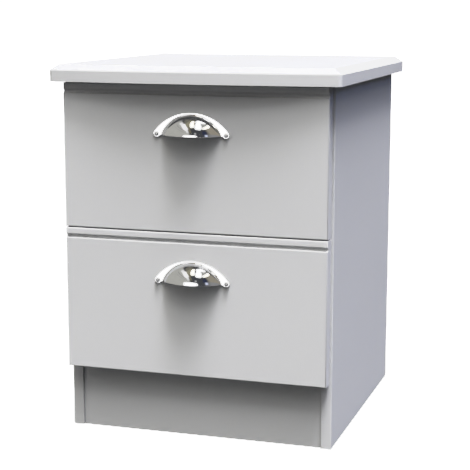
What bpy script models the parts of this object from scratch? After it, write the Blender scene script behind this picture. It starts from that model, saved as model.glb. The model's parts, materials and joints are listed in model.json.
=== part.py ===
"""Nightstand with two drawers on roller runners.

Metres, +Z up, the front towards -Y. The origin is on the floor, under the middle of the
whole piece. Every object hangs on an empty: carcass_origin lies on the front edges of the
side panels, and each drawer has its own empty at the bottom edge of its box.
"""

import math

import bmesh
import bpy
from mathutils import Vector

# ---------------------------------------------------------------- driving dimensions
GAP = 0.0003                # clearance between pieces that touch
ARRIS = 0.0006              # broken edge of an ordinary board

CARCASS_FRONT_Y = -0.17245  # front edges of the side panels, in the part's own frame
BOARD = 0.015               # side panels, plinths, rails and base
CARCASS_WIDTH = 0.372
SIDE_DEPTH = 0.3726
UNDERSIDE_Z = 0.482         # underside of the top panel

TOP_WIDTH = 0.400
TOP_BAND = 0.0152           # upright part of the top panel's edge
TOP_CHAMFER_RISE = 0.0078
TOP_CHAMFER_RUN = 0.0106
TOP_CORNER_Y = -0.0282      # front corners, from the side panels' front edges
TOP_BACK_Y = 0.3859
TOP_BOW = 0.012             # how far the middle of the front edge stands out
TOP_CORNER_RADIUS = 0.0065  # front corners
TOP_BACK_RADIUS = 0.0015    # back corners, and all four corners of the upper face

PLINTH_HEIGHT = 0.086
PLINTH_SETBACK = 0.0029
BASE_TOP_Z = 0.085
HARDBOARD = 0.003
BACK_Y = 0.3617             # front face of the back panel
BACK_GROOVE = 0.006         # depth of its groove in the side panels
RAIL_DEPTH = 0.060
REAR_RAIL_Y = 0.301
RAIL_SCREW_X = 0.120

FRONT_WIDTH = 0.3658
FRONT_HEIGHT = 0.1945
FRONT_THICKNESS = 0.018
FRONT_BACK_Y = -0.0027      # back face of a drawer front
FRONT_EDGE = 0.0013         # rounding of its front edges
BEAD_RADIUS = 0.0032        # routed groove across the front
BEAD_DROP = 0.0111          # its centre line, below the front's upper edge

BOX_WIDTH = 0.317           # drawer box, outside
BOX_LENGTH = 0.350
BOX_HEIGHT = 0.140
BOX_BOARD = 0.012
BOTTOM_LIFT = 0.0103        # underside of the drawer bottom over the box's lower edge
BOTTOM_GROOVE = 0.005
CAM_RADIUS = 0.0075
CAM_DEPTH = 0.0092

# lower edge of each drawer box, and lower edge of its front, both over the floor
DRAWERS = (
    ("top_drawer", 0.300, 0.2862),
    ("bottom_drawer", 0.104, 0.0903),
)

STEEL = 0.0012              # runner sheet
RUNNER_Z = -0.005           # floor of the runner's channel, from the box's lower edge
CHANNEL_HEIGHT = 0.021
CHANNEL_DEPTH = 0.010
RUNNER_FRONT_Y = 0.002
RUNNER_LENGTH = 0.350
FRONT_ROLLER_Y = 0.014
REAR_ROLLER_Y = 0.340
FRONT_ROLLER_RADIUS = 0.011
REAR_ROLLER_RADIUS = 0.010
ROLLER_WIDTH = 0.007
AXLE_RADIUS = 0.002
AXLE_HEAD_RADIUS = 0.0036

HANDLE_HOLES = 0.096        # distance between the screws
HANDLE_SCREW_DROP = 0.0645  # screws, below the upper edge of the drawer front
HANDLE_X = -0.0010          # middle of the handle, left of the middle of the front
HANDLE_PLATE = 0.002
HANDLE_WALL = 0.0018
LUG_RADIUS = 0.00467        # round ends of the flange
LUG_X = 0.0476              # their centres, from the middle
LUG_RISE = 0.0006           # and above the screws
FLANGE_RADIUS = 0.0652      # outer arc of the flange
FLANGE_CENTRE_Z = -0.0368   # its centre, from the screws
RIM_Z = -0.0021             # open lower edge of the cup, from the screws
CUP_RADIUS = 0.0462         # arc of the cup where it leaves the flange
CUP_CENTRE_DROP = 0.0178    # its centre, below the rim
RIM_RADIUS = 0.0572         # arc of the rim, seen from above
RIM_CENTRE_BACK = 0.0372    # its centre, behind the flange's back
CUP_END_X = 0.0422          # last section of the cup, from the middle
HOLLOW_END_X = 0.0398       # and of its hollow

GREY = (0.56, 0.56, 0.575)
FINISHES = {
    "grey_foil": (GREY, 0.42, 0.0),
    "grey_box_board": ((0.50, 0.50, 0.51), 0.55, 0.0),
    "white_hardboard": ((0.72, 0.72, 0.70), 0.60, 0.0),
    "chrome": ((0.86, 0.87, 0.88), 0.06, 1.0),
    "screw_steel": ((0.62, 0.62, 0.63), 0.30, 1.0),
    "runner_enamel": ((0.80, 0.80, 0.78), 0.35, 0.0),
    "nylon": ((0.83, 0.83, 0.80), 0.45, 0.0),
    "zinc": ((0.55, 0.56, 0.58), 0.38, 1.0),
}

ROUND_PIECES = ("top_panel", "_front", "_handle", "_roller", "_axle", "_cam_lock")

HALF_INNER = CARCASS_WIDTH / 2 - BOARD
ALONG = {"X": (0, math.pi / 2, 0), "-X": (0, -math.pi / 2, 0), "-Y": (math.pi / 2, 0, 0),
         "Z": (0, 0, 0), "-Z": (math.pi, 0, 0)}

for old in list(bpy.data.objects):
    bpy.data.objects.remove(old, do_unlink=True)

parts = bpy.data.collections.new("nightstand")
cutters = bpy.data.collections.new("nightstand_cutters")
for collection in (parts, cutters):
    bpy.context.scene.collection.children.link(collection)


# ---------------------------------------------------------------- helpers
def empty(name, location, parent=None):
    obj = bpy.data.objects.new(name, None)
    obj.empty_display_size = 0.02
    obj.location = location
    obj.parent = parent
    parts.objects.link(obj)
    return obj


def finish(obj, kind):
    """Give an object its own material, of one of the finishes above."""
    colour, roughness, metallic = FINISHES[kind]
    material = bpy.data.materials.new(obj.name)
    material.use_nodes = True
    shader = material.node_tree.nodes["Principled BSDF"]
    shader.inputs["Base Color"].default_value = (*colour, 1.0)
    shader.inputs["Roughness"].default_value = roughness
    shader.inputs["Metallic"].default_value = metallic
    obj.data.materials.clear()
    obj.data.materials.append(material)


def add(name, mesh, location, parent, kind=None, rotation=(0, 0, 0)):
    """Link a mesh as a part with a finish, or as a cutter when it has none."""
    obj = bpy.data.objects.new(name, mesh)
    obj.location = location
    obj.rotation_euler = rotation
    obj.parent = parent
    if kind is None:
        cutters.objects.link(obj)
        obj.hide_render = True
        obj.display_type = "WIRE"
    else:
        parts.objects.link(obj)
        finish(obj, kind)
    return obj


def box(name, low, high, parent, kind=None, edge=0.0, segments=1):
    """A block between two corners, with its origin in its middle."""
    low, high = Vector(low), Vector(high)
    mesh = bpy.data.meshes.new(name)
    bm = bmesh.new()
    bmesh.ops.create_cube(bm, size=1.0)
    bmesh.ops.scale(bm, vec=high - low, verts=bm.verts)
    bm.to_mesh(mesh)
    bm.free()
    obj = add(name, mesh, (low + high) / 2, parent, kind)
    if edge:
        round_edges(obj, edge, segments)
    return obj


def cylinder(name, centre, axis, radius, length, parent, sides=16):
    """A cutter with flat ends."""
    mesh = bpy.data.meshes.new(name)
    bm = bmesh.new()
    bmesh.ops.create_cone(bm, cap_ends=True, segments=sides, radius1=radius, radius2=radius, depth=length)
    bm.to_mesh(mesh)
    bm.free()
    return add(name, mesh, centre, parent, None, ALONG[axis])


def turned(name, profile, location, axis, parent, kind, steps=12, ring=False):
    """A turned piece from (radius, height) points that run down its outer side."""
    mesh = bpy.data.meshes.new(name)
    bm = bmesh.new()
    verts = [bm.verts.new((radius, 0, height)) for radius, height in profile]
    for first, second in zip(verts, verts[1:] + verts[:1] if ring else verts[1:]):
        bm.edges.new((first, second))
    bm.to_mesh(mesh)
    bm.free()
    obj = add(name, mesh, location, parent, kind, ALONG[axis])
    screw = obj.modifiers.new("turn", "SCREW")
    screw.steps = screw.render_steps = steps
    screw.use_merge_vertices = True
    screw.merge_threshold = 0.00001
    screw.use_smooth_shade = False
    return obj


def round_edges(obj, width, segments=1, angle=30):
    bevel = obj.modifiers.new("edges", "BEVEL")
    bevel.width = width
    bevel.segments = segments
    bevel.limit_method = "ANGLE"
    bevel.angle_limit = math.radians(angle)
    return bevel


def combine(target, other, operation="DIFFERENCE"):
    boolean = target.modifiers.new(other.name, "BOOLEAN")
    boolean.operation = operation
    boolean.solver = "EXACT"
    boolean.object = other
    return target


def curve_mesh(name, points, thickness):
    """A flat outline in XY with a thickness along Z, as a closed mesh."""
    curve = bpy.data.curves.new(name, "CURVE")
    curve.dimensions = "2D"
    curve.fill_mode = "BOTH"
    curve.extrude = thickness / 2
    curve.render_resolution_u = 0
    spline = curve.splines.new("POLY")
    spline.points.add(len(points) - 1)
    for point, (x, y) in zip(spline.points, points):
        point.co = (x, y, 0, 1)
    spline.use_cyclic_u = True
    obj = bpy.data.objects.new(name, curve)
    cutters.objects.link(obj)
    bpy.context.view_layer.update()
    graph = bpy.context.evaluated_depsgraph_get()
    mesh = bpy.data.meshes.new_from_object(obj.evaluated_get(graph))
    bpy.data.objects.remove(obj, do_unlink=True)
    bpy.data.curves.remove(curve)
    bm = bmesh.new()
    bm.from_mesh(mesh)
    bmesh.ops.remove_doubles(bm, verts=bm.verts, dist=0.00001)
    bm.to_mesh(mesh)
    bm.free()
    mesh.name = name
    return mesh


def loft_mesh(name, sections):
    """A closed loft through sections with the same number of points, capped at both ends."""
    mesh = bpy.data.meshes.new(name)
    bm = bmesh.new()
    loops = [[bm.verts.new(point) for point in section] for section in sections]
    for first, second in zip(loops, loops[1:]):
        for i in range(len(first)):
            j = (i + 1) % len(first)
            bm.faces.new((first[i], first[j], second[j], second[i]))
    bm.faces.new(loops[0])
    bm.faces.new(list(reversed(loops[-1])))
    bmesh.ops.recalc_face_normals(bm, faces=bm.faces)
    bm.to_mesh(mesh)
    bm.free()
    return mesh


def arc(centre, radius, start, end, steps):
    """Points along an arc, angles in radians, both ends included."""
    for i in range(steps + 1):
        angle = start + (end - start) * i / steps
        yield (centre[0] + radius * math.cos(angle), centre[1] + radius * math.sin(angle))


def settle(obj, angle=35):
    """Apply an object's modifiers, then shade it smooth except across its real edges."""
    bpy.context.view_layer.update()
    graph = bpy.context.evaluated_depsgraph_get()
    mesh = bpy.data.meshes.new_from_object(obj.evaluated_get(graph))
    obj.modifiers.clear()
    obj.data = mesh
    mesh.name = obj.name
    mesh.shade_smooth()
    mesh.set_sharp_from_angle(angle=math.radians(angle))


# ---------------------------------------------------------------- carcass
carcass = empty("carcass_origin", (0, CARCASS_FRONT_Y, 0))


def top_outline(inset=0.0):
    """Plan of the top panel, or of its smaller upper face: bowed front, straight sides and back."""
    half = TOP_WIDTH / 2
    bow_radius = (half ** 2 + TOP_BOW ** 2) / (2 * TOP_BOW)
    bow_y = TOP_CORNER_Y - TOP_BOW + bow_radius
    half -= inset
    bow_radius -= inset
    r = max(TOP_CORNER_RADIUS - inset, TOP_BACK_RADIUS)
    corner_x = half - r
    corner_y = bow_y - math.sqrt((bow_radius - r) ** 2 - corner_x ** 2)
    turn = math.atan2(corner_x, bow_y - corner_y)
    down = -math.pi / 2
    points = list(arc((0, bow_y), bow_radius, down - turn, down + turn, 22))
    points += list(arc((corner_x, corner_y), r, down + turn, 0, 6))[1:]
    back_x, back_y = half - TOP_BACK_RADIUS, TOP_BACK_Y - inset - TOP_BACK_RADIUS
    points += arc((back_x, back_y), TOP_BACK_RADIUS, 0, math.pi / 2, 4)
    points += arc((-back_x, back_y), TOP_BACK_RADIUS, math.pi / 2, math.pi, 4)
    points += list(arc((-corner_x, corner_y), r, math.pi, 1.5 * math.pi - turn, 6))[:-1]
    return points


def build_top_panel():
    levels = ((0, 0), (TOP_BAND, 0), (TOP_BAND + TOP_CHAMFER_RISE, TOP_CHAMFER_RUN))
    sections = [[(x, y, z) for x, y in top_outline(inset)] for z, inset in levels]
    mesh = loft_mesh("top_panel", sections)
    obj = add("top_panel", mesh, (0, 0, UNDERSIDE_Z), carcass, "grey_foil")
    round_edges(obj, 0.0005, 2)
    return obj


def build_sides():
    inner, outer = HALF_INNER, CARCASS_WIDTH / 2
    for name, sign in (("left", -1), ("right", 1)):
        xs = sorted((sign * inner, sign * outer))
        panel = box(f"{name}_side_panel", (xs[0], 0, 0), (xs[1], SIDE_DEPTH, UNDERSIDE_Z - GAP), carcass,
                    "grey_foil", ARRIS)
        xs = sorted((sign * (inner - 0.002), sign * (inner + BACK_GROOVE)))
        groove = box(f"{name}_back_groove", (xs[0], BACK_Y - GAP, -0.01),
                     (xs[1], BACK_Y + HARDBOARD + GAP, UNDERSIDE_Z + 0.01), carcass)
        combine(panel, groove)


def build_carcass():
    top = build_top_panel()
    build_sides()
    span = HALF_INNER - GAP
    rear = BACK_Y - 2 * GAP
    back = HALF_INNER + BACK_GROOVE - GAP
    box("back_panel", (-back, BACK_Y, 0.003), (back, BACK_Y + HARDBOARD, UNDERSIDE_Z - GAP), carcass,
        "white_hardboard")
    box("front_plinth", (-span, PLINTH_SETBACK, 0), (span, PLINTH_SETBACK + BOARD, PLINTH_HEIGHT), carcass,
        "grey_foil", ARRIS)
    box("rear_plinth", (-span, rear - BOARD, 0), (span, rear, BASE_TOP_Z - BOARD - GAP), carcass,
        "grey_foil", ARRIS)
    box("base_panel", (-span, PLINTH_SETBACK + BOARD + GAP, BASE_TOP_Z - BOARD), (span, rear, BASE_TOP_Z),
        carcass, "grey_foil", ARRIS)
    rails = (("front", 0.003, 0.003 + RAIL_DEPTH), ("rear", REAR_RAIL_Y, rear))
    for place, near, far in rails:
        rail = box(f"top_{place}_rail", (-span, near, UNDERSIDE_Z - GAP - BOARD),
                   (span, far, UNDERSIDE_Z - GAP), carcass, "grey_foil", ARRIS)
        for hand, sign in (("left", -1), ("right", 1)):
            spot = (sign * RAIL_SCREW_X, (near + far) / 2, UNDERSIDE_Z - GAP - BOARD)
            fix_top(f"top_screw_{place}_{hand}", rail, top, spot)


def fix_top(name, rail, top, spot):
    """A pan-head screw up through a rail into the top panel, with its two holes."""
    head, shank, length = 0.004, 0.0018, 0.0270
    x, y, z = spot
    turned(name, [(0, 0.0024), (head * 0.6, 0.0022), (head, 0.0012), (head, 0), (shank, 0),
                  (shank, -length), (0, -length - 0.001)],
           (x, y, z - GAP), "-Z", carcass, "screw_steel", 12)
    hole = cylinder(f"{name}_hole", (x, y, z + 0.014), "Z", shank + GAP, 0.0295, carcass)
    combine(rail, hole)
    combine(top, hole)


# ---------------------------------------------------------------- runners
def build_cabinet_runner(name, sign, box_z):
    """Steel channel on the carcass side, with its front roller ahead of the flanges."""
    floor = box_z + RUNNER_Z
    outer = HALF_INNER - 0.0004
    inner = outer - CHANNEL_DEPTH
    back = RUNNER_FRONT_Y + RUNNER_LENGTH
    xs = sorted((sign * inner, sign * outer))
    member = box(f"{name}_cabinet_runner", (xs[0], RUNNER_FRONT_Y, floor - STEEL),
                 (xs[1], back, floor + CHANNEL_HEIGHT + STEEL), carcass, "runner_enamel")
    xs = sorted((sign * (inner - 0.01), sign * (outer - STEEL)))
    hollow = box(f"{name}_channel", (xs[0], RUNNER_FRONT_Y - 0.01, floor),
                 (xs[1], back + 0.01, floor + CHANNEL_HEIGHT), carcass)
    nose = box(f"{name}_channel_nose", (xs[0], RUNNER_FRONT_Y - 0.01, floor - 0.01),
               (xs[1], FRONT_ROLLER_Y + FRONT_ROLLER_RADIUS + 0.002, floor + CHANNEL_HEIGHT + 0.01), carcass)
    axis_z = floor + 0.0012 + FRONT_ROLLER_RADIUS
    hole = cylinder(f"{name}_front_axle_hole", (sign * (outer - STEEL / 2), FRONT_ROLLER_Y, axis_z), "X",
                    AXLE_RADIUS + GAP, 0.006, carcass)
    for cutter in (hollow, nose, hole):
        combine(member, cutter)
    roller_outer = outer - STEEL - 0.0004
    centre = (sign * (roller_outer - ROLLER_WIDTH / 2), FRONT_ROLLER_Y, axis_z)
    inward = "-X" if sign > 0 else "X"
    build_roller(f"{name}_front_roller", FRONT_ROLLER_RADIUS, centre, inward, carcass, "nylon")
    build_axle(f"{name}_front_axle", centre, inward, outer - abs(centre[0]), 0.0008, carcass)


def build_drawer_runner(name, sign, drawer):
    """Steel angle under the drawer side, with the rear roller that runs in the channel."""
    web_inner = BOX_WIDTH / 2 + GAP
    web_outer = web_inner + STEEL
    track = RUNNER_Z + 0.0012 + 2 * FRONT_ROLLER_RADIUS + GAP
    front, back = RUNNER_FRONT_Y - 0.001, RUNNER_FRONT_Y - 0.001 + RUNNER_LENGTH
    shelf, brim = BOX_WIDTH / 2 - BOX_BOARD + GAP, web_outer + 0.0082
    low, high = -GAP - STEEL, track + STEEL
    xs = sorted((sign * shelf, sign * brim))
    member = box(f"{name}_drawer_runner", (xs[0], front, low), (xs[1], back, high), drawer, "runner_enamel")
    xs = sorted((sign * (shelf - 0.01), sign * web_inner))
    over_shelf = box(f"{name}_over_shelf", (xs[0], front - 0.01, -GAP),
                     (xs[1], back + 0.01, high + 0.01), drawer)
    xs = sorted((sign * web_outer, sign * (brim + 0.01)))
    under_track = box(f"{name}_under_track", (xs[0], front - 0.01, low - 0.01),
                      (xs[1], back + 0.01, track), drawer)
    combine(member, over_shelf)
    combine(member, under_track)
    axis_z = RUNNER_Z + GAP + REAR_ROLLER_RADIUS
    hole = cylinder(f"{name}_rear_axle_hole", (sign * (web_inner + STEEL / 2), REAR_ROLLER_Y, axis_z), "X",
                    AXLE_RADIUS + GAP, 0.006, drawer)
    combine(member, hole)
    roller_inner = web_outer + 0.0012
    centre = (sign * (roller_inner + ROLLER_WIDTH / 2), REAR_ROLLER_Y, axis_z)
    outward = "X" if sign > 0 else "-X"
    build_roller(f"{name}_rear_roller", REAR_ROLLER_RADIUS, centre, outward, drawer, "nylon")
    build_axle(f"{name}_rear_axle", centre, outward, abs(centre[0]) - web_inner, 0.0006, drawer)


def build_roller(name, radius, centre, axis, parent, kind):
    """Nylon roller with a plain bore and eased corners; its origin is on its axis."""
    half, ease, bore = ROLLER_WIDTH / 2, 0.0006, AXLE_RADIUS + GAP
    profile = [(bore, half), (radius - ease, half), (radius, half - ease), (radius, ease - half),
               (radius - ease, -half), (bore, -half)]
    return turned(name, profile, centre, axis, parent, kind, 20, ring=True)


def build_axle(name, centre, axis, tail, head, parent):
    """Rivet through a roller: a head on the roller's free side, and its tail in the sheet."""
    start = ROLLER_WIDTH / 2 + GAP
    profile = [(0, start + head), (AXLE_HEAD_RADIUS, start + head), (AXLE_HEAD_RADIUS, start),
               (AXLE_RADIUS, start), (AXLE_RADIUS, -tail), (0, -tail)]
    return turned(name, profile, centre, axis, parent, "screw_steel", 12)


# ---------------------------------------------------------------- cup handle
def flange_outline():
    """Front view of the flange, with a lug round each screw and a straight lower edge."""
    outer_end = math.atan2(LUG_X, LUG_RISE - FLANGE_CENTRE_Z)
    up = math.pi / 2
    low = math.radians(60)
    edge_x, edge_z = LUG_X - LUG_RADIUS - 0.0006, RIM_Z + 0.0002
    points = list(arc((0, FLANGE_CENTRE_Z), FLANGE_RADIUS, up - outer_end, up + outer_end, 28))
    points += list(arc((-LUG_X, LUG_RISE), LUG_RADIUS, up + outer_end, 3 * up + low, 11))[1:]
    points += [(-edge_x, edge_z), (edge_x, edge_z)]
    points += list(arc((LUG_X, LUG_RISE), LUG_RADIUS, 3 * up - low, 5 * up - outer_end, 11))[:-1]
    return points


def cup_sections(wall, end_x, stations, steps, hollow):
    """Quarter-ellipse sections of the cup, from one end to the other.

    A section's height follows the cup's arc in front view, and its depth the rim's arc in
    plan. The hollow's sections run on past the rim and behind the flange.
    """
    sections = []
    for i in range(stations + 1):
        x = end_x * math.sin(math.pi * (i / stations - 0.5))
        height = math.sqrt((CUP_RADIUS - wall) ** 2 - x ** 2) - CUP_CENTRE_DROP
        depth = math.sqrt((RIM_RADIUS - wall) ** 2 - x ** 2) - RIM_CENTRE_BACK
        back = -0.001 if hollow else 0.0005
        section = []
        for j in range(steps + 1):
            turn = math.pi / 2 * j / steps
            out = depth * math.sin(turn)
            section.append((x, -max(out, 0.0005 + 0.00001 * j), RIM_Z + height * math.cos(turn)))
        if hollow:
            section.append((x, -depth, RIM_Z - 0.002))
            section.append((x, -back, RIM_Z - 0.002))
            section.append((x, -back, RIM_Z + height))
        else:
            section.append((x, -back, RIM_Z))
        sections.append(section)
    return sections


def build_handle(name, drawer, spot):
    """Half-moon cup with a flange: its origin is between the screws, on the flange's back."""
    plate = curve_mesh(name, flange_outline(), HANDLE_PLATE)
    for vertex in plate.vertices:
        x, z, depth = vertex.co
        vertex.co = (x, -(depth + HANDLE_PLATE / 2), z)
    handle = add(name, plate, spot, drawer, "chrome")
    outside = loft_mesh(f"{name}_cup", cup_sections(0, CUP_END_X, 26, 9, False))
    inside = loft_mesh(f"{name}_hollow", cup_sections(HANDLE_WALL, HOLLOW_END_X, 22, 8, True))
    cup = add(f"{name}_cup", outside, spot, drawer)
    hollow = add(f"{name}_hollow", inside, spot, drawer)
    combine(handle, cup, "UNION")
    combine(handle, hollow)
    return handle


# ---------------------------------------------------------------- drawers
def build_drawer(name, box_z, front_z):
    drawer = empty(f"{name}_origin", (0, 0, box_z), carcass)
    lower = front_z - box_z
    upper = lower + FRONT_HEIGHT
    face = FRONT_BACK_Y - FRONT_THICKNESS
    half = FRONT_WIDTH / 2
    front = box(f"{name}_front", (-half, face, lower), (half, FRONT_BACK_Y, upper), drawer, "grey_foil",
                FRONT_EDGE, 3)
    front.modifiers["edges"].limit_method = "WEIGHT"
    weights = front.data.attributes.new("bevel_weight_edge", "FLOAT", "EDGE")
    for edge in front.data.edges:
        ends = [front.data.vertices[i].co.y for i in edge.vertices]
        weights.data[edge.index].value = 1.0 if max(ends) < 0 else 0.0
    bead = cylinder(f"{name}_bead", (0, face, upper - BEAD_DROP), "X", BEAD_RADIUS, FRONT_WIDTH + 0.02,
                    drawer, 20)
    combine(front, bead)

    build_box(name, drawer, front)

    screw_z = upper - HANDLE_SCREW_DROP
    handle = build_handle(f"{name}_handle", drawer, (HANDLE_X, face - GAP, screw_z))
    head_y = face - GAP - HANDLE_PLATE - GAP
    for hand, sign in (("left", -1), ("right", 1)):
        x = HANDLE_X + sign * HANDLE_HOLES / 2
        turned(f"{name}_handle_screw_{hand}",
               [(0, 0.0019), (0.0016, 0.0017), (0.0026, 0.0010), (0.0029, 0), (0.0016, 0),
                (0.0016, -0.0150), (0, -0.0165)],
               (x, head_y, screw_z), "-Y", drawer, "screw_steel", 12)
        hole = cylinder(f"{name}_handle_hole_{hand}", (x, head_y + 0.0085, screw_z), "-Y", 0.0019, 0.0190,
                        drawer, 12)
        combine(front, hole)
        combine(handle, hole)

    for hand, sign in (("left", -1), ("right", 1)):
        build_cabinet_runner(f"{name}_{hand}", sign, box_z)
        build_drawer_runner(f"{name}_{hand}", sign, drawer)


def build_box(name, drawer, front):
    """Two sides and a back round a thin bottom, which slides in grooves."""
    outer = BOX_WIDTH / 2
    inner = outer - BOX_BOARD
    start = FRONT_BACK_Y + GAP
    end = start + BOX_LENGTH
    slot = inner + BOTTOM_GROOVE
    slot_low, slot_high = BOTTOM_LIFT - GAP, BOTTOM_LIFT + HARDBOARD + GAP
    groove = box(f"{name}_bottom_groove", (-slot, FRONT_BACK_Y - 0.006, slot_low),
                 (slot, end + 0.01, slot_high), drawer)
    combine(front, groove)
    box(f"{name}_bottom", (GAP - slot, FRONT_BACK_Y - 0.006 + GAP, BOTTOM_LIFT),
        (slot - GAP, end - 0.0005, BOTTOM_LIFT + HARDBOARD), drawer, "white_hardboard")
    box(f"{name}_back", (GAP - inner, end - 0.0005 - BOX_BOARD, slot_high),
        (inner - GAP, end - 0.0005, BOX_HEIGHT - 0.010), drawer, "grey_box_board", ARRIS)
    for hand, sign in (("left", -1), ("right", 1)):
        xs = sorted((sign * inner, sign * outer))
        side = box(f"{name}_{hand}_side", (xs[0], start, 0), (xs[1], end, BOX_HEIGHT), drawer,
                   "grey_box_board", ARRIS)
        combine(side, groove)
        cam_x, cam_y, cam_z = sign * outer, start + 0.024, BOX_HEIGHT / 2
        pocket = cylinder(f"{name}_{hand}_cam_pocket", (cam_x, cam_y, cam_z), "X", CAM_RADIUS + GAP,
                          2 * (CAM_DEPTH + GAP), drawer, 24)
        combine(side, pocket)
        outward = "X" if sign > 0 else "-X"
        cam = turned(f"{name}_{hand}_cam_lock",
                     [(0, 0), (CAM_RADIUS - 0.0005, 0), (CAM_RADIUS, -0.0005), (CAM_RADIUS, -CAM_DEPTH),
                      (0, -CAM_DEPTH)],
                     (cam_x - sign * GAP, cam_y, cam_z), outward, drawer, "zinc", 16)
        slot_cut = box(f"{name}_{hand}_cam_slot", (cam_x - 0.002, cam_y - 0.0040, cam_z - 0.0007),
                       (cam_x + 0.002, cam_y + 0.0040, cam_z + 0.0007), drawer)
        combine(cam, slot_cut)


build_carcass()
for drawer_name, drawer_box_z, drawer_front_z in DRAWERS:
    build_drawer(drawer_name, drawer_box_z, drawer_front_z)

for piece in list(parts.objects):
    is_round = piece.name.endswith(ROUND_PIECES) or "screw" in piece.name
    if piece.type == "MESH" and is_round:
        settle(piece)
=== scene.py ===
"""Looks for the nightstand with two drawers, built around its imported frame."""
import json
import math

import bmesh
import bpy
import numpy as np
from mathutils import Matrix, Vector

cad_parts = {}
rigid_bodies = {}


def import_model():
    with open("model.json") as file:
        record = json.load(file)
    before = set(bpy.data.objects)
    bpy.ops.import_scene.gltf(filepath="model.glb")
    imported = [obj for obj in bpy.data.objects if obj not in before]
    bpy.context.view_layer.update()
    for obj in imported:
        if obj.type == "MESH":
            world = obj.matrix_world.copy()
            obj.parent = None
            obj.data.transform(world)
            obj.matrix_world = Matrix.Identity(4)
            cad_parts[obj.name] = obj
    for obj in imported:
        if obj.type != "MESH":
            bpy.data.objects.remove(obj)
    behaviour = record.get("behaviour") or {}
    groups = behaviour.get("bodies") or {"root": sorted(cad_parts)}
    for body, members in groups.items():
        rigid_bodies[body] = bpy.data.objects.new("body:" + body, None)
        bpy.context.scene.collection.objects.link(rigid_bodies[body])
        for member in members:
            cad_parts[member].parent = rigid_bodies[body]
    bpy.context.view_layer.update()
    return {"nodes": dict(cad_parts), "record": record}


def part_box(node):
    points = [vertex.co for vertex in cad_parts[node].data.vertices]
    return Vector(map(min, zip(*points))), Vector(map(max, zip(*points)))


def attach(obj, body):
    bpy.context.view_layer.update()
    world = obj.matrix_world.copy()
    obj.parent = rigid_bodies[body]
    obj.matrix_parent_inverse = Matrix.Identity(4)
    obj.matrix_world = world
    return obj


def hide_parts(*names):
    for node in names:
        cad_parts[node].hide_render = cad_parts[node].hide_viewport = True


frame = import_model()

NODES = frame["nodes"]
BODIES = frame["record"]["behaviour"]["bodies"]
BODY_OF = {node: body for body, nodes in BODIES.items() for node in nodes}

# colours, each with its finish's own small variation added by noise
GREY = (0.575, 0.575, 0.585)
BOX_GREY = (0.50, 0.50, 0.505)
LACQUER = (0.72, 0.72, 0.70)
ENAMEL = (0.80, 0.80, 0.78)
NYLON = (0.82, 0.82, 0.79)
STEEL = (0.66, 0.66, 0.67)
ZINC = (0.52, 0.53, 0.55)


# ---------------------------------------------------------------- node trees
class Tree:
    """Short calls for building a node tree."""

    def __init__(self, tree):
        self.tree = tree

    def add(self, kind, values=None, **settings):
        node = self.tree.nodes.new(kind)
        for key, value in settings.items():
            setattr(node, key, value)
        for key, value in (values or {}).items():
            if isinstance(value, bpy.types.NodeSocket):
                self.tree.links.new(value, node.inputs[key])
            else:
                node.inputs[key].default_value = value
        return node

    def math(self, operation, a, b=0.0, c=0.0):
        node = self.add("ShaderNodeMath", operation=operation)
        for socket, value in zip(node.inputs, (a, b, c)):
            if isinstance(value, bpy.types.NodeSocket):
                self.tree.links.new(value, socket)
            else:
                socket.default_value = value
        return node.outputs[0]

    def coordinates(self, scale=(1, 1, 1), turn=(0, 0, 0)):
        texture = self.add("ShaderNodeTexCoord")
        mapping = self.add("ShaderNodeMapping", {"Vector": texture.outputs["Object"], "Scale": scale,
                                                 "Rotation": turn})
        return mapping.outputs["Vector"]

    def noise(self, vector, scale, detail=2.0, roughness=0.5, distortion=0.0):
        node = self.add("ShaderNodeTexNoise", {"Vector": vector, "Scale": scale, "Detail": detail,
                                               "Roughness": roughness, "Distortion": distortion})
        return node.outputs[0]

    def remap(self, value, low, high, from_low=0.3, from_high=0.7):
        node = self.add("ShaderNodeMapRange", {"Value": value, "From Min": from_low, "From Max": from_high,
                                               "To Min": low, "To Max": high})
        return node.outputs["Result"]

    def blend(self, factor, first, second):
        node = self.add("ShaderNodeMix", data_type="RGBA")
        self.tree.links.new(factor, node.inputs["Factor"])
        for socket, value in zip((node.inputs[6], node.inputs[7]), (first, second)):
            if isinstance(value, bpy.types.NodeSocket):
                self.tree.links.new(value, socket)
            else:
                socket.default_value = (*value, 1.0)
        return node.outputs[2]

    def bump(self, height, distance, strength=1.0, normal=None):
        values = {"Height": height, "Distance": distance, "Strength": strength}
        if normal is not None:
            values["Normal"] = normal
        return self.add("ShaderNodeBump", values).outputs["Normal"]


def shader(name, **values):
    """A material with a Principled shader: plain numbers go on its own sockets."""
    material = bpy.data.materials.new(name)
    material.use_nodes = True
    tree = Tree(material.node_tree)
    principled = material.node_tree.nodes["Principled BSDF"]
    for key, value in values.items():
        principled.inputs[key.replace("_", " ")].default_value = value
    return material, tree, principled.inputs


def shade(colour, factor):
    return tuple(channel * factor for channel in colour)


def wire(tree, inputs, **links):
    for key, socket in links.items():
        tree.tree.links.new(socket, inputs[key.replace("_", " ")])


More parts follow.
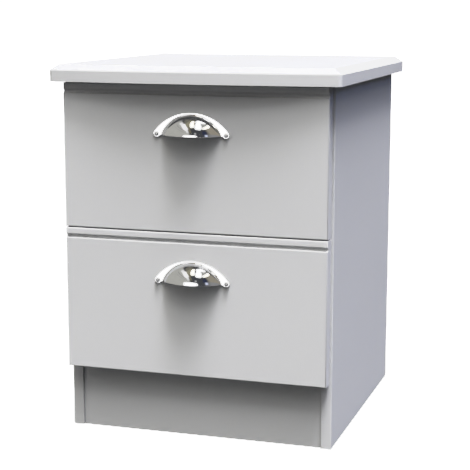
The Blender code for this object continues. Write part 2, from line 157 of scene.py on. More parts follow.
# ---------------------------------------------------------------- finishes
def make_foil():
    """Matt foil pressed on board: a fine satin texture over a very slight orange peel."""
    material, t, inputs = shader("grey_foil_satin", IOR=1.46, Specular_IOR_Level=0.30)
    plain = t.coordinates()
    grain = t.coordinates((1, 1, 0.12))
    cloud = t.noise(plain, 5.0, 3.0)
    fibre = t.noise(grain, 1500.0, 3.0, 0.6)
    peel = t.noise(plain, 260.0, 2.0)
    speck = t.noise(plain, 5200.0, 1.0)
    tone = t.blend(t.remap(cloud, 0.0, 1.0), shade(GREY, 0.985), shade(GREY, 1.012))
    tone = t.blend(t.remap(fibre, 0.0, 0.5), tone, shade(GREY, 0.97))
    rough = t.math("ADD", t.remap(fibre, 0.42, 0.52), t.remap(cloud, -0.02, 0.03))
    first = t.bump(peel, 0.00005, 0.35)
    second = t.bump(fibre, 0.00003, 0.5, first)
    third = t.bump(speck, 0.00001, 0.4, second)
    wire(t, inputs, Base_Color=tone, Roughness=rough, Normal=third)
    return material


def make_box_board():
    """Printed paper foil of the drawer boxes: a faint straight grain."""
    material, t, inputs = shader("grey_box_board_paper", IOR=1.45, Specular_IOR_Level=0.3)
    along = t.coordinates((90, 4, 90))
    grain = t.noise(along, 2.4, 5.0, 0.62, 0.4)
    fine = t.noise(t.coordinates((700, 30, 700)), 1.0, 3.0)
    tone = t.blend(t.remap(grain, 0.0, 1.0), shade(BOX_GREY, 0.93), shade(BOX_GREY, 1.05))
    wire(t, inputs, Base_Color=tone, Roughness=t.remap(grain, 0.50, 0.62),
         Normal=t.bump(fine, 0.00004, 0.6))
    return material


def make_hardboard():
    """White lacquered hardboard: smooth, with the faint mottling of rolled lacquer."""
    material, t, inputs = shader("white_hardboard_lacquer", IOR=1.48, Specular_IOR_Level=0.4)
    plain = t.coordinates()
    mottle = t.noise(plain, 140.0, 4.0, 0.6)
    fibre = t.noise(plain, 900.0, 3.0, 0.7, 0.8)
    tone = t.blend(t.remap(mottle, 0.0, 1.0), shade(LACQUER, 0.97), shade(LACQUER, 1.02))
    wire(t, inputs, Base_Color=tone, Roughness=t.remap(mottle, 0.40, 0.56),
         Normal=t.bump(fibre, 0.00005, 0.5))
    return material


def make_chrome():
    """Bright chrome plate over a polished casting: faint ripple, light polishing haze."""
    material, t, inputs = shader("chrome_plate", Metallic=1.0)
    plain = t.coordinates()
    ripple = t.noise(plain, 60.0, 2.0)
    haze = t.noise(plain, 220.0, 4.0, 0.65)
    tone = t.blend(t.remap(haze, 0.0, 1.0), (0.90, 0.905, 0.915), (0.95, 0.95, 0.955))
    wire(t, inputs, Base_Color=tone, Roughness=t.remap(haze, 0.025, 0.075),
         Normal=t.bump(ripple, 0.00003, 0.25))
    return material


def make_metal(name, base, roughness, scratch, grit, depth):
    """Bare or plated steel and zinc: fine drawn scratches over a cast or rolled grain."""
    material, t, inputs = shader(name, Metallic=1.0)
    lines = t.noise(t.coordinates((scratch, scratch, 40)), 1.0, 3.0, 0.6)
    grains = t.noise(t.coordinates(), grit, 3.0, 0.65)
    tone = t.blend(t.remap(grains, 0.0, 1.0), shade(base, 0.86), shade(base, 1.08))
    rough = t.math("ADD", t.remap(lines, roughness - 0.06, roughness + 0.08), t.remap(grains, 0.0, 0.06))
    wire(t, inputs, Base_Color=tone, Roughness=rough,
         Normal=t.bump(lines, depth, 0.5, t.bump(grains, depth, 0.5)))
    return material


def make_enamel():
    """White powder coat on folded steel: orange peel a millimetre or so across."""
    material, t, inputs = shader("runner_powder_coat", IOR=1.5, Specular_IOR_Level=0.5)
    plain = t.coordinates()
    peel = t.noise(plain, 900.0, 2.0)
    cloud = t.noise(plain, 60.0, 3.0)
    tone = t.blend(t.remap(cloud, 0.0, 1.0), shade(ENAMEL, 0.97), shade(ENAMEL, 1.01))
    wire(t, inputs, Base_Color=tone, Roughness=t.remap(peel, 0.28, 0.40),
         Normal=t.bump(peel, 0.00006, 0.6))
    return material


def make_nylon():
    """Moulded nylon: milky, satin, with faint flow marks."""
    material, t, inputs = shader("nylon_moulded", IOR=1.53, Specular_IOR_Level=0.45)
    flow = t.noise(t.coordinates(), 320.0, 3.0, 0.55, 1.2)
    fine = t.noise(t.coordinates(), 2600.0, 2.0)
    tone = t.blend(t.remap(flow, 0.0, 1.0), shade(NYLON, 0.95), shade(NYLON, 1.02))
    wire(t, inputs, Base_Color=tone, Roughness=t.remap(flow, 0.38, 0.5),
         Normal=t.bump(fine, 0.00003, 0.5))
    return material


FINISH = {
    "grey_foil": make_foil(),
    "grey_box_board": make_box_board(),
    "white_hardboard": make_hardboard(),
    "chrome": make_chrome(),
    "screw_steel": make_metal("screw_steel_bright", STEEL, 0.27, 900.0, 1500.0, 0.00002),
    "runner_enamel": make_enamel(),
    "nylon": make_nylon(),
    "zinc": make_metal("zinc_cast", ZINC, 0.40, 500.0, 1100.0, 0.00004),
}


# ---------------------------------------------------------------- carried-over CAD nodes
WELD = 0.000005             # split corners of a CAD mesh this close are one corner
EDGE_ANGLE = 32             # degrees; sharper edges of a CAD mesh stay sharp


def make_refine_group():
    """Joins a CAD mesh's split corners and shades it smooth except across its real edges."""
    group = bpy.data.node_groups.new("refine", "GeometryNodeTree")
    group.interface.new_socket("Geometry", in_out="INPUT", socket_type="NodeSocketGeometry")
    group.interface.new_socket("Geometry", in_out="OUTPUT", socket_type="NodeSocketGeometry")
    new, link = group.nodes.new, group.links.new
    start, end = new("NodeGroupInput"), new("NodeGroupOutput")
    weld = new("GeometryNodeMergeByDistance")
    weld.inputs["Distance"].default_value = WELD
    drop = new("GeometryNodeRemoveAttribute")
    drop.inputs["Name"].default_value = "custom_normal"
    faces = new("GeometryNodeSetShadeSmooth")
    faces.domain = "FACE"
    faces.inputs["Shade Smooth"].default_value = True
    angle = new("GeometryNodeInputMeshEdgeAngle")
    flat = new("ShaderNodeMath")
    flat.operation = "LESS_THAN"
    flat.inputs[1].default_value = math.radians(EDGE_ANGLE)
    edges = new("GeometryNodeSetShadeSmooth")
    edges.domain = "EDGE"
    link(start.outputs[0], weld.inputs["Geometry"])
    link(weld.outputs["Geometry"], drop.inputs["Geometry"])
    link(drop.outputs["Geometry"], faces.inputs["Geometry"])
    link(faces.outputs["Geometry"], edges.inputs["Geometry"])
    link(angle.outputs["Unsigned Angle"], flat.inputs[0])
    link(flat.outputs[0], edges.inputs["Shade Smooth"])
    link(edges.outputs["Geometry"], end.inputs[0])
    return group


REFINE = make_refine_group()


def dress(node):
    """Give a CAD node its procedural finish and clean shading."""
    obj = NODES[node]
    for material_slot in obj.material_slots:
        finish = material_slot.material.name
        material_slot.material = FINISH[finish]
    obj.modifiers.new("refine", "NODES").node_group = REFINE
    obj.modifiers.new("normals", "WEIGHTED_NORMAL").keep_sharp = True


# ---------------------------------------------------------------- mesh helpers
def place(name, mesh, finish, body, replaced, matrix, smooth):
    """Link a detailed piece, shade it, attach it to its body and hide the CAD nodes it replaces."""
    obj = bpy.data.objects.new(name, mesh)
    bpy.context.scene.collection.objects.link(obj)
    obj.matrix_world = matrix
    if not mesh.materials:
        mesh.materials.append(FINISH[finish])
        mesh.shade_smooth()
        mesh.set_sharp_from_angle(angle=math.radians(smooth))
    obj.modifiers.new("normals", "WEIGHTED_NORMAL").keep_sharp = True
    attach(obj, body)
    if replaced:
        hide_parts(*replaced)
    return obj


def revolve(name, profile, steps=48, ring=False):
    """A turned mesh about Z from (radius, height) points."""
    bm = bmesh.new()
    rows = []
    for radius, height in profile:
        if radius < 1e-7:
            rows.append([bm.verts.new((0, 0, height))] * steps)
        else:
            rows.append([bm.verts.new((radius * math.cos(2 * math.pi * i / steps),
                                       radius * math.sin(2 * math.pi * i / steps), height))
                         for i in range(steps)])
    pairs = list(zip(rows, rows[1:])) + ([(rows[-1], rows[0])] if ring else [])
    for low, high in pairs:
        for i in range(steps):
            j = (i + 1) % steps
            corners = []
            for vertex in (low[i], low[j], high[j], high[i]):
                if vertex not in corners:
                    corners.append(vertex)
            if len(corners) > 2:
                bm.faces.new(corners)
    bmesh.ops.recalc_face_normals(bm, faces=bm.faces)
    mesh = bpy.data.meshes.new(name)
    bm.to_mesh(mesh)
    bm.free()
    return mesh


def rounded(points, radius, steps=4):
    """Replace each inner corner of an open line of points with a small arc."""
    result = [points[0]]
    for before, corner, after in zip(points, points[1:], points[2:]):
        p, q, r = (Vector(v) for v in (before, corner, after))
        a, b = (p - q), (r - q)
        cut = min(radius, a.length * 0.45, b.length * 0.45)
        first, last = q + a.normalized() * cut, q + b.normalized() * cut
        for i in range(steps + 1):
            s = i / steps
            result.append(tuple(first.lerp(q, s).lerp(q.lerp(last, s), s)))
    return result + [points[-1]]


def cut(mesh, cutters):
    """Subtract closed meshes, given as (mesh, matrix), from a mesh with the exact solver."""
    scene = bpy.context.scene.collection.objects
    target = bpy.data.objects.new("cut_target", mesh)
    scene.link(target)
    tools = []
    for tool, matrix in cutters:
        obj = bpy.data.objects.new("cut_tool", tool)
        obj.matrix_world = matrix
        scene.link(obj)
        tools.append(obj)
        boolean = target.modifiers.new("cut", "BOOLEAN")
        boolean.operation, boolean.solver, boolean.object = "DIFFERENCE", "EXACT", obj
    bpy.context.view_layer.update()
    graph = bpy.context.evaluated_depsgraph_get()
    result = bpy.data.meshes.new_from_object(target.evaluated_get(graph))
    result.name = mesh.name
    for obj in [target, *tools]:
        bpy.data.objects.remove(obj, do_unlink=True)
    result.materials.clear()
    return result


RECESS_TAPER = 0.55         # lower end of a cross recess, from its upper end


def recess_block(size):
    """A box about the origin with a tapered lower end: a cutter for screw recesses."""
    bm = bmesh.new()
    bmesh.ops.create_cube(bm, size=1.0)
    bmesh.ops.scale(bm, vec=size, verts=bm.verts)
    for vertex in bm.verts:
        if vertex.co.z < 0:
            vertex.co.x *= RECESS_TAPER
            vertex.co.y *= RECESS_TAPER
    mesh = bpy.data.meshes.new("block")
    bm.to_mesh(mesh)
    bm.free()
    return mesh


def cross_recess(mesh, top, reach, width, depth):
    """Cut a cross recess down from height top."""
    spin = Matrix.Rotation(math.pi / 2, 4, "Z")
    down = Matrix.Translation((0, 0, top))
    size = (reach, width, 2 * depth)
    return cut(mesh, [(recess_block(size), down), (recess_block(size), down @ spin)])


def axis_matrix(centre, direction):
    """Puts a mesh's +Z along direction, at centre."""
    turn = Vector(direction).to_track_quat("Z", "Y").to_matrix().to_4x4()
    return Matrix.Translation(centre) @ turn


# ---------------------------------------------------------------- cup handles
LUG = 0.00467               # radius of the flange's round ends
LUG_X, LUG_RISE = 0.0476, 0.0006        # their centres, from the middle and over the screws
SCREWS = 0.096              # distance between the screws
SCREW_HOLE = 0.0019         # radius of their holes
PLATE = 0.002               # flange thickness
PLATE_EDGE = 0.0005         # rounding of the flange's edges
TUCK = 0.0010               # how far the flange runs under the cup
OUTER_ARC, OUTER_DROP = 0.0652, 0.0368  # flange's outer arc, and its centre below the screws
CUP_ARC, CUP_DROP = 0.0462, 0.0178      # arc of the cup on the flange, and its centre below the rim
PLAN_ARC, PLAN_BACK = 0.0572, 0.0372    # arc of the cup from above, and its centre behind the back
RIM = -0.0021               # rim of the cup, from the screws
WALL = 0.0018
LIP = 0.0008                # rounding of the rim
FILLET = 0.0011             # between the cup and the flange
ARC_STEPS, LUG_STEPS = 96, 28
CUP_STATIONS = 97           # sections of the cup from end to end
OUTER_ROWS, FILLET_ROWS, LIP_ROWS, INNER_ROWS = 34, 6, 8, 16  # points round each section
HANDLE_SCREW_HEIGHT = 0.0019
HANDLE_SCREW_TURN = {"left": 28, "right": 61}  # degrees


def arc(cx, cy, radius, start, end, steps):
    """Points along an arc, angles in radians, both ends included."""
    for i in range(steps + 1):
        angle = start + (end - start) * i / steps
        yield (cx + radius * math.cos(angle), cy + radius * math.sin(angle))


def flange_mesh():
    """Crescent plate in the XZ plane with rounded edges and two screw holes."""
    turn = math.atan2(LUG_X, OUTER_DROP + LUG_RISE)
    up, low = math.pi / 2, math.radians(60)
    corner = LUG_X - LUG - 0.0006
    inner = CUP_ARC - TUCK
    inner_turn = math.acos((CUP_DROP + 0.0004) / inner)
    outline = list(arc(0, -OUTER_DROP, OUTER_ARC, up - turn, up + turn, ARC_STEPS))
    outline += list(arc(-LUG_X, LUG_RISE, LUG, up + turn, 3 * up + low, LUG_STEPS))[1:]
    outline += [(-corner, RIM + 0.0002)]
    outline += arc(0, RIM - CUP_DROP, inner, up + inner_turn, up - inner_turn, ARC_STEPS)
    outline += [(corner, RIM + 0.0002)]
    outline += list(arc(LUG_X, LUG_RISE, LUG, 3 * up - low, 5 * up - turn, LUG_STEPS))[:-1]
    curve = bpy.data.curves.new("flange", "CURVE")
    curve.dimensions, curve.fill_mode = "2D", "BOTH"
    curve.extrude = PLATE / 2 - PLATE_EDGE
    curve.bevel_depth, curve.bevel_resolution, curve.offset = PLATE_EDGE, 3, -PLATE_EDGE
    rings = [outline]
    for sign in (-1, 1):
        rings.append(list(arc(sign * SCREWS / 2, 0, SCREW_HOLE, 0, -2 * math.pi, LUG_STEPS))[:-1])
    for ring in rings:
        spline = curve.splines.new("POLY")
        spline.points.add(len(ring) - 1)
        for point, (x, y) in zip(spline.points, ring):
            point.co = (x, y, 0, 1)
        spline.use_cyclic_u = True
    holder = bpy.data.objects.new("flange", curve)
    bpy.context.scene.collection.objects.link(holder)
    bpy.context.view_layer.update()
    graph = bpy.context.evaluated_depsgraph_get()
    mesh = bpy.data.meshes.new_from_object(holder.evaluated_get(graph))
    bpy.data.objects.remove(holder, do_unlink=True)
    for vertex in mesh.vertices:
        x, z, depth = vertex.co
        vertex.co = (x, -(depth + PLATE / 2), z)
    return mesh


def dome(theta, wall):
    """Radius along a ray and depth of the cup's skin, from its lip to its foot."""
    arc_radius, plan = CUP_ARC - wall, PLAN_ARC - wall
    start = (CUP_DROP + LIP) / math.cos(theta)
    s = np.sin(np.linspace(0.0, 1.0, 500) * math.pi / 2)
    radius = start + (arc_radius - start) * s
    x, z = radius * math.sin(theta), radius * math.cos(theta) - CUP_DROP
    height = np.sqrt(np.maximum(arc_radius ** 2 - x ** 2, 1e-12)) - CUP_DROP
    depth = np.sqrt(np.maximum(plan ** 2 - x ** 2, 1e-12)) - PLAN_BACK
    ratio = np.clip(z / np.maximum(height, 1e-9), 0, 1)
    return radius, np.maximum(depth, 0) * np.sqrt(1 - ratio ** 2)


def along(radius, depth, count):
    """Resample a line of (radius, depth) points evenly by length."""
    step = np.hypot(np.diff(radius), np.diff(depth))
    travelled = np.concatenate([[0], np.cumsum(step)])
    wanted = np.linspace(0, travelled[-1], count)
    return np.interp(wanted, travelled, radius), np.interp(wanted, travelled, depth)


def cup_ring(theta):
    """Closed section of the cup along one ray: (radius, depth) points."""
    radius, depth = dome(theta, 0.0)
    slope = np.stack([np.gradient(radius), np.gradient(depth)])
    slope /= np.maximum(np.hypot(*slope), 1e-12)
    normal = np.stack([-slope[1], slope[0]])
    edge = depth[0] - PLATE
    bend = max(min(FILLET, 0.55 * edge), 0.00002)
    height = depth + bend * normal[1]
    above = np.nonzero(height >= PLATE + bend)[0]
    last = max(above[-1], 1) if len(above) else 1
    foot = radius[last] + bend * normal[0][last]
    outer_r, outer_d = along(radius[: last + 1], depth[: last + 1], OUTER_ROWS)
    start = math.atan2(normal[1][last], normal[0][last]) + math.pi
    fillet = []
    for i in range(1, FILLET_ROWS + 1):
        angle = start + (1.5 * math.pi - start) * i / FILLET_ROWS
        fillet.append((foot + bend * math.cos(angle),
                       PLATE + bend + bend * math.sin(angle) - 0.00001 * i))
    inner_r, inner_d = along(*dome(theta, WALL), INNER_ROWS)
    inner_d = np.clip(inner_d, 0.00005, max(outer_d[0] - 0.0003, 0.0001))
    lip = []
    middle = (outer_d[0] + inner_d[0]) / 2
    half = (outer_d[0] - inner_d[0]) / 2
    for i in range(1, LIP_ROWS):
        angle = math.pi * i / LIP_ROWS
        drop = LIP * math.sin(angle) / math.cos(theta)
        lip.append((outer_r[0] - drop, middle - half * math.cos(angle)))
    points = [(foot + 0.0004, PLATE - 0.0006)]
    points += list(reversed(fillet))
    points += list(zip(outer_r[::-1], outer_d[::-1]))
    points += list(reversed(lip))
    points += list(zip(inner_r, inner_d))
    points += [(inner_r[-1] + 0.0007, 0.00005)]
    return points


def cup_mesh():
    """The cup as one closed shell, foot and lip included."""
    limit = math.acos((CUP_DROP + LIP) / CUP_ARC) - math.radians(0.9)
    bm = bmesh.new()
    rings = []
    for i in range(CUP_STATIONS):
        theta = limit * math.sin(math.pi * (i / (CUP_STATIONS - 1) - 0.5))
        ring = cup_ring(theta)
        rings.append([bm.verts.new((r * math.sin(theta), -d, RIM - CUP_DROP + r * math.cos(theta)))
                      for r, d in ring])
    for first, second in zip(rings, rings[1:]):
        for i in range(len(first)):
            j = (i + 1) % len(first)
            bm.faces.new((first[i], first[j], second[j], second[i]))
    bm.faces.new(rings[0])
    bm.faces.new(list(reversed(rings[-1])))
    bmesh.ops.recalc_face_normals(bm, faces=bm.faces)
    mesh = bpy.data.meshes.new("cup")
    bm.to_mesh(mesh)
    bm.free()
    return mesh


def joined(name, meshes):
    """One mesh out of several, their meeting points joined."""
    bm = bmesh.new()
    for mesh in meshes:
        bm.from_mesh(mesh)
    bmesh.ops.remove_doubles(bm, verts=bm.verts, dist=0.000001)
    mesh = bpy.data.meshes.new(name)
    bm.to_mesh(mesh)
    bm.free()
    return mesh


def screw_head_mesh(name, radius, height, shank, length, crown=0.8):
    """A pan-head screw with a cross recess, a rolled thread and a point, head towards +Z."""
    head = [(0, height)]
    for i in range(1, 9):
        angle = math.pi / 2 * (1 - i / 8)
        head.append((radius * math.cos(angle), height * crown * math.sin(angle) + height * (1 - crown)))
    head += [(radius, 0.0), (shank * 1.15, 0.0)]
    pitch, z = shank * 0.75, -0.0008
    while z > -length + 2 * pitch:
        head += [(shank * 0.72, z), (shank, z - pitch / 2)]
        z -= pitch
    head += [(shank * 0.72, z), (0, -length)]
    mesh = revolve(name, head, 36)
    return cross_recess(mesh, height, radius * 1.15, radius * 0.28, height * 0.75)


def build_handles():
    handle = joined("cup_handle", [flange_mesh(), cup_mesh()])
    screw = screw_head_mesh("handle_screw", 0.0029, HANDLE_SCREW_HEIGHT, 0.0016, 0.0165)
    for drawer in ("top_drawer", "bottom_drawer"):
        low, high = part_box(f"{drawer}_handle")
        seat = Matrix.Translation(((low.x + high.x) / 2, high.y, low.z + LUG - LUG_RISE))
        place(f"{drawer}_cup_handle", handle, "chrome", drawer, [f"{drawer}_handle"], seat, 50)
        for hand in ("left", "right"):
            node = f"{drawer}_handle_screw_{hand}"
            low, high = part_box(node)
            head = Vector(((low.x + high.x) / 2, low.y + HANDLE_SCREW_HEIGHT, (low.z + high.z) / 2))
            twist = Matrix.Rotation(math.radians(HANDLE_SCREW_TURN[hand]), 4, "Z")
            place(f"{node}_cross", screw, "screw_steel", drawer, [node],
                  axis_matrix(head, (0, -1, 0)) @ twist, 30)


# ---------------------------------------------------------------- runners and fittings
ROLLER_WIDTH = 0.007
ROLLER_BORE = 0.0023        # radius
ROLLER_DISH = 0.0008        # depth of the roller's dished faces
GATE_RADIUS = 0.0005        # moulding marks on the roller's faces
GATE_DEPTH = 0.0012
SHANK_RADIUS = 0.0020       # rivets
CAM_TURN = 20               # degrees
TOP_SCREW_HEIGHT = 0.0024
RUNNER_STEEL = 0.0012


def roller_mesh(radius):
    """Nylon roller: eased tread, dished faces and a raised hub."""
    half, bore, dish = ROLLER_WIDTH / 2, ROLLER_BORE, ROLLER_WIDTH / 2 - ROLLER_DISH
    profile = [(bore, half), (bore + 0.0016, half), (bore + 0.0022, dish), (radius - 0.0024, dish),
               (radius - 0.0018, half), (radius, half - 0.0002), (radius, 0.0002 - half),
               (radius - 0.0018, -half), (radius - 0.0024, -dish), (bore + 0.0022, -dish),
               (bore + 0.0016, -half), (bore, -half)]
    mesh = revolve("roller", rounded(profile, 0.0004, 3), 56, ring=True)
    mark = [(0, GATE_DEPTH), (GATE_RADIUS, GATE_DEPTH), (GATE_RADIUS, -GATE_DEPTH), (0, -GATE_DEPTH)]
    pin = revolve("gate_mark", mark, 16)
    reach = (bore + radius) / 2 + 0.0002
    spots = []
    for turn in range(3):
        angle = turn * 2 * math.pi / 3
        for side in (1, -1):
            spot = (reach * math.cos(angle), reach * math.sin(angle), side * (half - 0.0004))
            spots.append((pin, Matrix.Translation(spot)))
    return cut(mesh, spots)


def rivet_mesh(length):
    """Rivet axle with a domed head at the far end and an upset tail."""
    profile = [(0, length - 0.0003), (0.0009, length - 0.0003), (0.0013, length), (0.0029, length - 0.0001),
               (0.0036, length - 0.0004), (0.0036, length - 0.0008), (SHANK_RADIUS, length - 0.0008),
               (SHANK_RADIUS, 0.0), (0, 0.0)]
    return revolve("rivet", rounded(profile, 0.0002, 3), 36)


def cam_mesh(depth):
    """Cam lock: stepped rim, and a cross recess in its face."""
    profile = [(0, 0.0), (0.0062, 0.0), (0.0066, -0.0003), (0.0070, -0.0003), (0.0075, -0.0007),
               (0.0075, -depth + 0.0003), (0.0071, -depth), (0, -depth)]
    return cross_recess(revolve("cam", rounded(profile, 0.0002, 3), 48), 0.0, 0.0072, 0.0013, 0.0020)


def build_rollers():
    """Rollers, their rivets and the cam locks: one mesh for each size, shared by its nodes."""
    meshes = {}

    def shared(key, make, size):
        if key not in meshes:
            meshes[key] = make(size)
        return meshes[key]

    for node, body in sorted(BODY_OF.items()):
        low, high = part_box(node)
        centre = (low + high) / 2
        outward = 1.0 if centre.x > 0 else -1.0
        if node.endswith("_roller"):
            radius = round((high.z - low.z) / 2, 4)
            mesh = shared(radius, roller_mesh, radius)
            place(f"{node}_turned", mesh, "nylon", body, [node], axis_matrix(centre, (outward, 0, 0)), 35)
        elif node.endswith("_axle"):
            facing = outward if "rear" in node else -outward
            length = high.x - low.x
            mesh = shared(("axle", round(length, 4)), rivet_mesh, length)
            tail = Vector((low.x if facing > 0 else high.x, centre.y, centre.z))
            place(f"{node}_rivet", mesh, "screw_steel", body, [node], axis_matrix(tail, (facing, 0, 0)), 35)
        elif node.endswith("_cam_lock"):
            mesh = shared("cam", cam_mesh, high.x - low.x)
            face = Vector((high.x if outward > 0 else low.x, centre.y, centre.z))
            twist = Matrix.Rotation(math.radians(CAM_TURN), 4, "Z")
            place(f"{node}_cross", mesh, "zinc", body, [node], axis_matrix(face, (outward, 0, 0)) @ twist, 35)


def build_top_screws():
    mesh = screw_head_mesh("top_screw", 0.0040, TOP_SCREW_HEIGHT, 0.0018, 0.0280)
    for node, body in sorted(BODY_OF.items()):
        if node.startswith("top_screw"):
            low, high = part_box(node)
            seat = Vector(((low.x + high.x) / 2, (low.y + high.y) / 2, low.z + TOP_SCREW_HEIGHT))
            place(f"{node}_cross", mesh, "screw_steel", body, [node], axis_matrix(seat, (0, 0, -1)), 30)


def build_runner_screws():
    """Countersunk fixing screws through each runner member, from inside the channel."""
    head = screw_head_mesh("runner_screw", 0.0028, 0.0007, 0.0014, 0.0100, 0.6)
    for drawer in ("top_drawer", "bottom_drawer"):
        for hand, sign in (("left", -1.0), ("right", 1.0)):
            low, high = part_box(f"{drawer}_{hand}_cabinet_runner")
            wall = (high.x if sign > 0 else low.x) - sign * RUNNER_STEEL
            for i, y in enumerate((low.y + 0.052, (low.y + high.y) / 2 + 0.004, high.y - 0.050)):
                seat = Vector((wall, y, (low.z + high.z) / 2))
                place(f"{drawer}_{hand}_runner_screw_{i + 1}", head, "screw_steel", "carcass", [],
                      axis_matrix(seat, (-sign, 0, 0)) @ Matrix.Rotation(0.7 * i + 0.3, 4, "Z"), 30)
            low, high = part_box(f"{drawer}_{hand}_drawer_runner")
            for i, y in enumerate((low.y + 0.045, high.y - 0.075)):
                inner = low.x + 0.006 if sign > 0 else high.x - 0.006
                seat = Vector((inner, y, low.z))
                place(f"{drawer}_{hand}_shelf_screw_{i + 1}", head, "screw_steel", drawer, [],
                      axis_matrix(seat, (0, 0, -1)) @ Matrix.Rotation(0.5 + 0.9 * i, 4, "Z"), 30)


build_handles()
build_rollers()
build_top_screws()
build_runner_screws()
for cad_node, cad_object in NODES.items():
    if not cad_object.hide_render:
        dress(cad_node)


# ---------------------------------------------------------------- camera
CAMERA_PLACE = (0.568586, -1.803476, 0.583967)
CAMERA_TURN = (0.30682, -0.174209, 0.000622)  # yaw, pitch and roll, in radians
CAMERA_LENS, CAMERA_SENSOR = 100.61, 36.0     # millimetres


def build_camera():
    yaw, pitch, roll = CAMERA_TURN
    forward = Vector((-math.sin(yaw) * math.cos(pitch), math.cos(yaw) * math.cos(pitch), math.sin(pitch)))
    right = forward.cross(Vector((0, 0, 1))).normalized()
    up = right.cross(forward)
    right, up = (right * math.cos(roll) + up * math.sin(roll), up * math.cos(roll) - right * math.sin(roll))
    data = bpy.data.cameras.new("camera")
    data.lens, data.sensor_width = CAMERA_LENS, CAMERA_SENSOR
    data.clip_start, data.clip_end = 0.05, 200.0
    camera = bpy.data.objects.new("camera", data)
    turn = Matrix((right, up, -forward)).transposed().to_4x4()
    camera.matrix_world = Matrix.Translation(CAMERA_PLACE) @ turn
    bpy.context.scene.collection.objects.link(camera)
    bpy.context.scene.camera = camera


build_camera()


# ---------------------------------------------------------------- floor and light
TONE = ((0.70, 0.70), (1.00, 0.80), (2.20, 0.895), (2.35, 0.955))  # light, and the tone that shows it
TONE_WHITE = 2.7            # light that shows as white
BACKDROP = 2.75             # brightness of the floor and backdrop, just over the white point
FLOOR_RADIUS = 14.0
FLOOR_DROP = 0.0002         # keeps the floor clear of the feet


def build_floor():
    material, t, inputs = shader("studio_floor", Roughness=0.6)
    grain = t.noise(t.coordinates(), 400.0, 3.0)
    tone = t.blend(t.remap(grain, 0.0, 1.0), (0.44, 0.44, 0.44), (0.46, 0.46, 0.46))
    wire(t, inputs, Base_Color=tone)
    inputs["Emission Color"].default_value = (1, 1, 1, 1)
    inputs["Emission Strength"].default_value = BACKDROP
    bm = bmesh.new()
    bmesh.ops.create_circle(bm, cap_ends=True, segments=96, radius=FLOOR_RADIUS)
    mesh = bpy.data.meshes.new("floor")
    bm.to_mesh(mesh)
    bm.free()
    mesh.materials.append(material)
    floor = bpy.data.objects.new("floor", mesh)
    floor.location = (0, 0, -FLOOR_DROP)
    floor.visible_diffuse = False
    floor.visible_glossy = False
    bpy.context.scene.collection.objects.link(floor)


SUNS = (
    # azimuth, elevation, softness (degrees), strength, colour
    (-30.0, 70.0, 14.0, 0.17, (1.00, 0.93, 0.54)),
    (-60.0, 15.0, 14.0, 0.23, (1.00, 0.94, 0.82)),
    (-60.0, 30.0, 14.0, 0.27, (0.98, 0.98, 1.00)),
    (-60.0, 45.0, 14.0, 0.15, (0.99, 1.00, 0.99)),
    (0.0, 45.0, 14.0, 0.12, (1.00, 0.98, 0.85)),
    (0.0, 55.0, 14.0, 0.26, (1.00, 0.99, 0.92)),
    (0.0, 63.0, 14.0, 0.48, (1.00, 0.98, 0.85)),
    (0.0, 77.0, 14.0, 0.22, (1.00, 0.93, 0.56)),
    (0.0, 84.0, 14.0, 0.80, (1.00, 0.99, 0.96)),
    (100.0, 35.0, 14.0, 0.23, (0.17, 0.29, 1.00)),
    (25.0, 63.0, 14.0, 1.14, (0.97, 0.98, 1.00)),
    (25.0, 77.0, 14.0, 1.01, (1.00, 1.00, 0.97)),
    (25.0, 84.0, 14.0, 1.27, (1.00, 0.99, 1.00)),
    (50.0, 30.0, 14.0, 0.19, (0.91, 0.92, 1.00)),
    (50.0, 45.0, 14.0, 0.25, (0.94, 0.96, 1.00)),
    (50.0, 55.0, 14.0, 0.21, (0.89, 0.89, 1.00)),
    (50.0, 70.0, 14.0, 1.32, (0.94, 0.95, 1.00)),
    (-20.0, 6.0, 14.0, 0.085, (1.00, 1.00, 1.00)),
    (50.0, 77.0, 14.0, 5.15, (0.98, 0.98, 1.00)),
    (50.0, 84.0, 14.0, 0.85, (0.90, 0.91, 1.00)),
    (75.0, 30.0, 14.0, 0.08, (0.78, 0.84, 1.00)),
    (75.0, 70.0, 14.0, 0.45, (0.54, 0.58, 1.00)),
    (150.0, 50.0, 30.0, 1.10, (1.0, 1.0, 1.0)),
    (-130.0, 50.0, 30.0, 1.10, (1.0, 1.0, 1.0)),
)

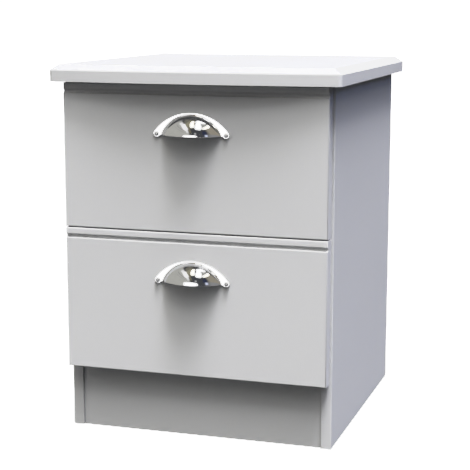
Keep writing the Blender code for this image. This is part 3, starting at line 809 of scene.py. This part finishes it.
UNDERLIGHT = (0.087, 0.091, 0.094, 1.0)  # soft light from below, as a pale floor would send up
ROOM = (0.058, 0.060, 0.066)             # what polished metal mirrors between the panels
PANELS = (
    # azimuth, elevation, half width, half height, tilt (degrees), softness, opacity, colour
    (-80.0, 20.0, 48.0, 34.0, -13.6, 0.10, 1.0, (0.42, 0.416, 0.386)),
    (-42.5, 4.7, 30.0, 36.0, 18.0, 0.10, 1.0, (0.42, 0.416, 0.386)),
    (-58.7, 67.3, 40.1, 10.7, -26.0, 0.30, 1.0, (0.159, 0.151, 0.124)),
    (-19.4, 50.9, 21.5, 17.3, -85.5, 0.29, 1.0, (0.272, 0.255, 0.183)),
    (-14.0, 24.0, 14.0, 3.0, -65.0, 0.50, 1.0, (0.17, 0.155, 0.11)),
    (-48.0, 41.0, 14.0, 4.5, -20.0, 0.60, 1.0, (0.85, 0.84, 0.84)),
    (-21.5, 20.5, 10.0, 3.2, -62.0, 0.60, 1.0, (0.80, 0.79, 0.79)),
    (-32.0, 32.0, 13.0, 5.5, -42.0, 0.60, 1.0, (1.50, 1.47, 1.48)),
    (-48.0, 27.0, 24.0, 1.2, -24.0, 0.60, 0.6, (0.22, 0.22, 0.22)),
    (-42.0, 18.0, 24.0, 1.0, -22.0, 0.60, 0.4, (0.25, 0.25, 0.25)),
    (62.0, 26.0, 24.0, 22.0, 15.0, 0.30, 1.0, (0.29, 0.265, 0.215)),
    (66.0, -2.0, 30.0, 11.0, 0.0, 0.50, 1.0, (0.25, 0.25, 0.255)),
    (30.0, 13.0, 6.0, 9.0, 0.0, 0.50, 1.0, (0.032, 0.038, 0.07)),
    (33.5, 1.0, 3.6, 5.0, 5.0, 0.60, 1.0, (0.65, 0.70, 0.88)),
    (4.0, 9.0, 2.6, 3.5, 0.0, 0.60, 1.0, (0.40, 0.40, 0.40)),
    (42.0, 54.0, 24.0, 7.0, 27.0, 0.40, 1.0, (0.36, 0.36, 0.34)),
    (-11.0, 51.0, 7.5, 17.0, 18.0, 0.25, 1.0, (3.1, 2.95, 2.6)),
    (14.5, 50.0, 10.5, 23.0, -8.0, 0.20, 1.0, (3.1, 3.1, 3.1)),
    (48.0, 43.5, 23.0, 4.6, 27.0, 0.35, 1.0, (3.0, 2.85, 2.5)),
    (38.0, 69.5, 34.0, 9.0, 5.0, 0.30, 1.0, (3.0, 3.0, 3.0)),
    (-10.5, -6.8, 18.5, 9.2, 0.0, 0.22, 1.0, (3.1, 3.1, 3.1)),
)


def build_suns():
    """Soft lamps that light the boards; polished metal mirrors the panels instead."""
    for i, (azimuth, elevation, softness, strength, colour) in enumerate(SUNS):
        data = bpy.data.lights.new(f"studio_light_{i + 1}", "SUN")
        data.energy, data.color, data.angle = strength, colour, math.radians(softness)
        lamp = bpy.data.objects.new(data.name, data)
        a, e = math.radians(azimuth), math.radians(elevation)
        towards = Vector((math.sin(a) * math.cos(e), -math.cos(a) * math.cos(e), math.sin(e)))
        lamp.rotation_mode = "QUATERNION"
        lamp.rotation_quaternion = towards.to_track_quat("Z", "Y")
        lamp.visible_glossy = False
        bpy.context.scene.collection.objects.link(lamp)


def paint_panel(t, azimuth, elevation, base, panel):
    """Lay one soft rounded panel of light over the room, at its azimuth and elevation."""
    az, el, width, height, tilt, softness, opacity, colour = panel
    c, s = math.cos(math.radians(tilt)), math.sin(math.radians(tilt))
    across, upward = t.math("SUBTRACT", azimuth, az), t.math("SUBTRACT", elevation, el)
    u = t.math("MULTIPLY_ADD", across, c / width, t.math("MULTIPLY", upward, s / width))
    v = t.math("MULTIPLY_ADD", upward, c / height, t.math("MULTIPLY", across, -s / height))
    reach = t.math("ADD", *(t.math("POWER", t.math("ABSOLUTE", side), 4.0) for side in (u, v)))
    mask = t.add("ShaderNodeMapRange", {"Value": t.math("POWER", reach, 0.25), "From Min": 1.0 + softness,
                                        "From Max": 1.0 - softness, "To Min": 0.0, "To Max": opacity},
                 interpolation_type="SMOOTHSTEP")
    return t.blend(mask.outputs["Result"], base, colour)


def build_world():
    """White to the camera, soft light from below for boards, and the panels for reflections."""
    world = bpy.data.worlds.new("studio")
    world.use_nodes = True
    bpy.context.scene.world = world
    t = Tree(world.node_tree)
    world.node_tree.nodes.clear()
    path = t.add("ShaderNodeLightPath")
    axes = t.add("ShaderNodeSeparateXYZ", {"Vector": t.add("ShaderNodeTexCoord").outputs["Generated"]})
    x, y, z = axes.outputs
    azimuth = t.math("MULTIPLY", t.math("ARCTAN2", x, t.math("MULTIPLY", y, -1.0)), 180 / math.pi)
    elevation = t.math("MULTIPLY", t.math("ARCSINE", z), 180 / math.pi)
    room = ROOM
    for panel in PANELS:
        room = paint_panel(t, azimuth, elevation, room, panel)
    under = t.math("LESS_THAN", z, 0.0)
    soft = t.add("ShaderNodeBackground", {"Color": UNDERLIGHT, "Strength": under})
    seen = t.add("ShaderNodeBackground", {"Color": (1, 1, 1, 1), "Strength": BACKDROP})
    mirror = t.add("ShaderNodeBackground", {"Color": room, "Strength": 1.0})
    first = t.add("ShaderNodeMixShader", {0: path.outputs["Is Glossy Ray"], 1: soft.outputs[0],
                                          2: mirror.outputs[0]})
    second = t.add("ShaderNodeMixShader", {0: path.outputs["Is Camera Ray"], 1: first.outputs[0],
                                           2: seen.outputs[0]})
    output = t.add("ShaderNodeOutputWorld")
    world.node_tree.links.new(second.outputs[0], output.inputs["Surface"])


def set_tone():
    """A straight tone scale up to a pale grey, which then eases the highlights off to white."""
    settings = bpy.context.scene.view_settings
    settings.view_transform = "Standard"
    settings.use_curve_mapping = True
    mapping = settings.curve_mapping
    mapping.white_level = (TONE_WHITE,) * 3
    points = mapping.curves[3].points
    points[0].location = (0.0, 0.0)
    points[1].location = (1.0, 1.0)
    for light, shown in TONE:
        points.new(light / TONE_WHITE, shown)
    for point in points:
        point.handle_type = "VECTOR"
    mapping.update()


build_floor()
build_suns()
build_world()
set_tone()
